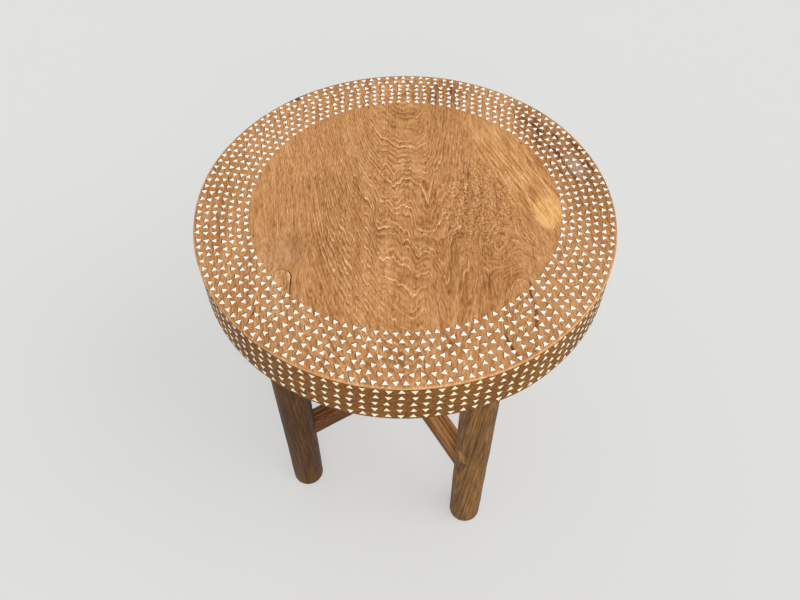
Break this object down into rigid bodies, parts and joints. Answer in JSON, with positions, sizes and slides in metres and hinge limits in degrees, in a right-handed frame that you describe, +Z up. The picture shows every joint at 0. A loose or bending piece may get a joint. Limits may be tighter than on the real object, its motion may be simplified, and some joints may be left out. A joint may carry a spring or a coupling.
{
  "type": "round inlaid stool",
  "caption": "Round stool or side table: thick teak slab inlaid with rings of small shell triangles, on upright round legs tied by crossed stretchers.",
  "frame": {"origin": "on the floor under the centre of the round top", "axes": "+Z up through the centre of the top; the picture looks along +Y from above, with +X to its right"},
  "size_m": [0.5, 0.5, 0.525],
  "materials": {
    "slab_timber": "satin oiled teak",
    "patch_timber": "satin oiled teak",
    "leg_timber": "satin oiled teak",
    "stretcher_timber": "satin oiled teak"
  },
  "bodies": {
    "root": {"top_slab": "slab_timber", "top_patch": "patch_timber", "leg_front_right": "leg_timber", "leg_back_right": "leg_timber", "leg_back_left": "leg_timber", "leg_front_left": "leg_timber", "stretcher_lower": "stretcher_timber", "stretcher_upper": "stretcher_timber"}
  },
  "joints": []
}
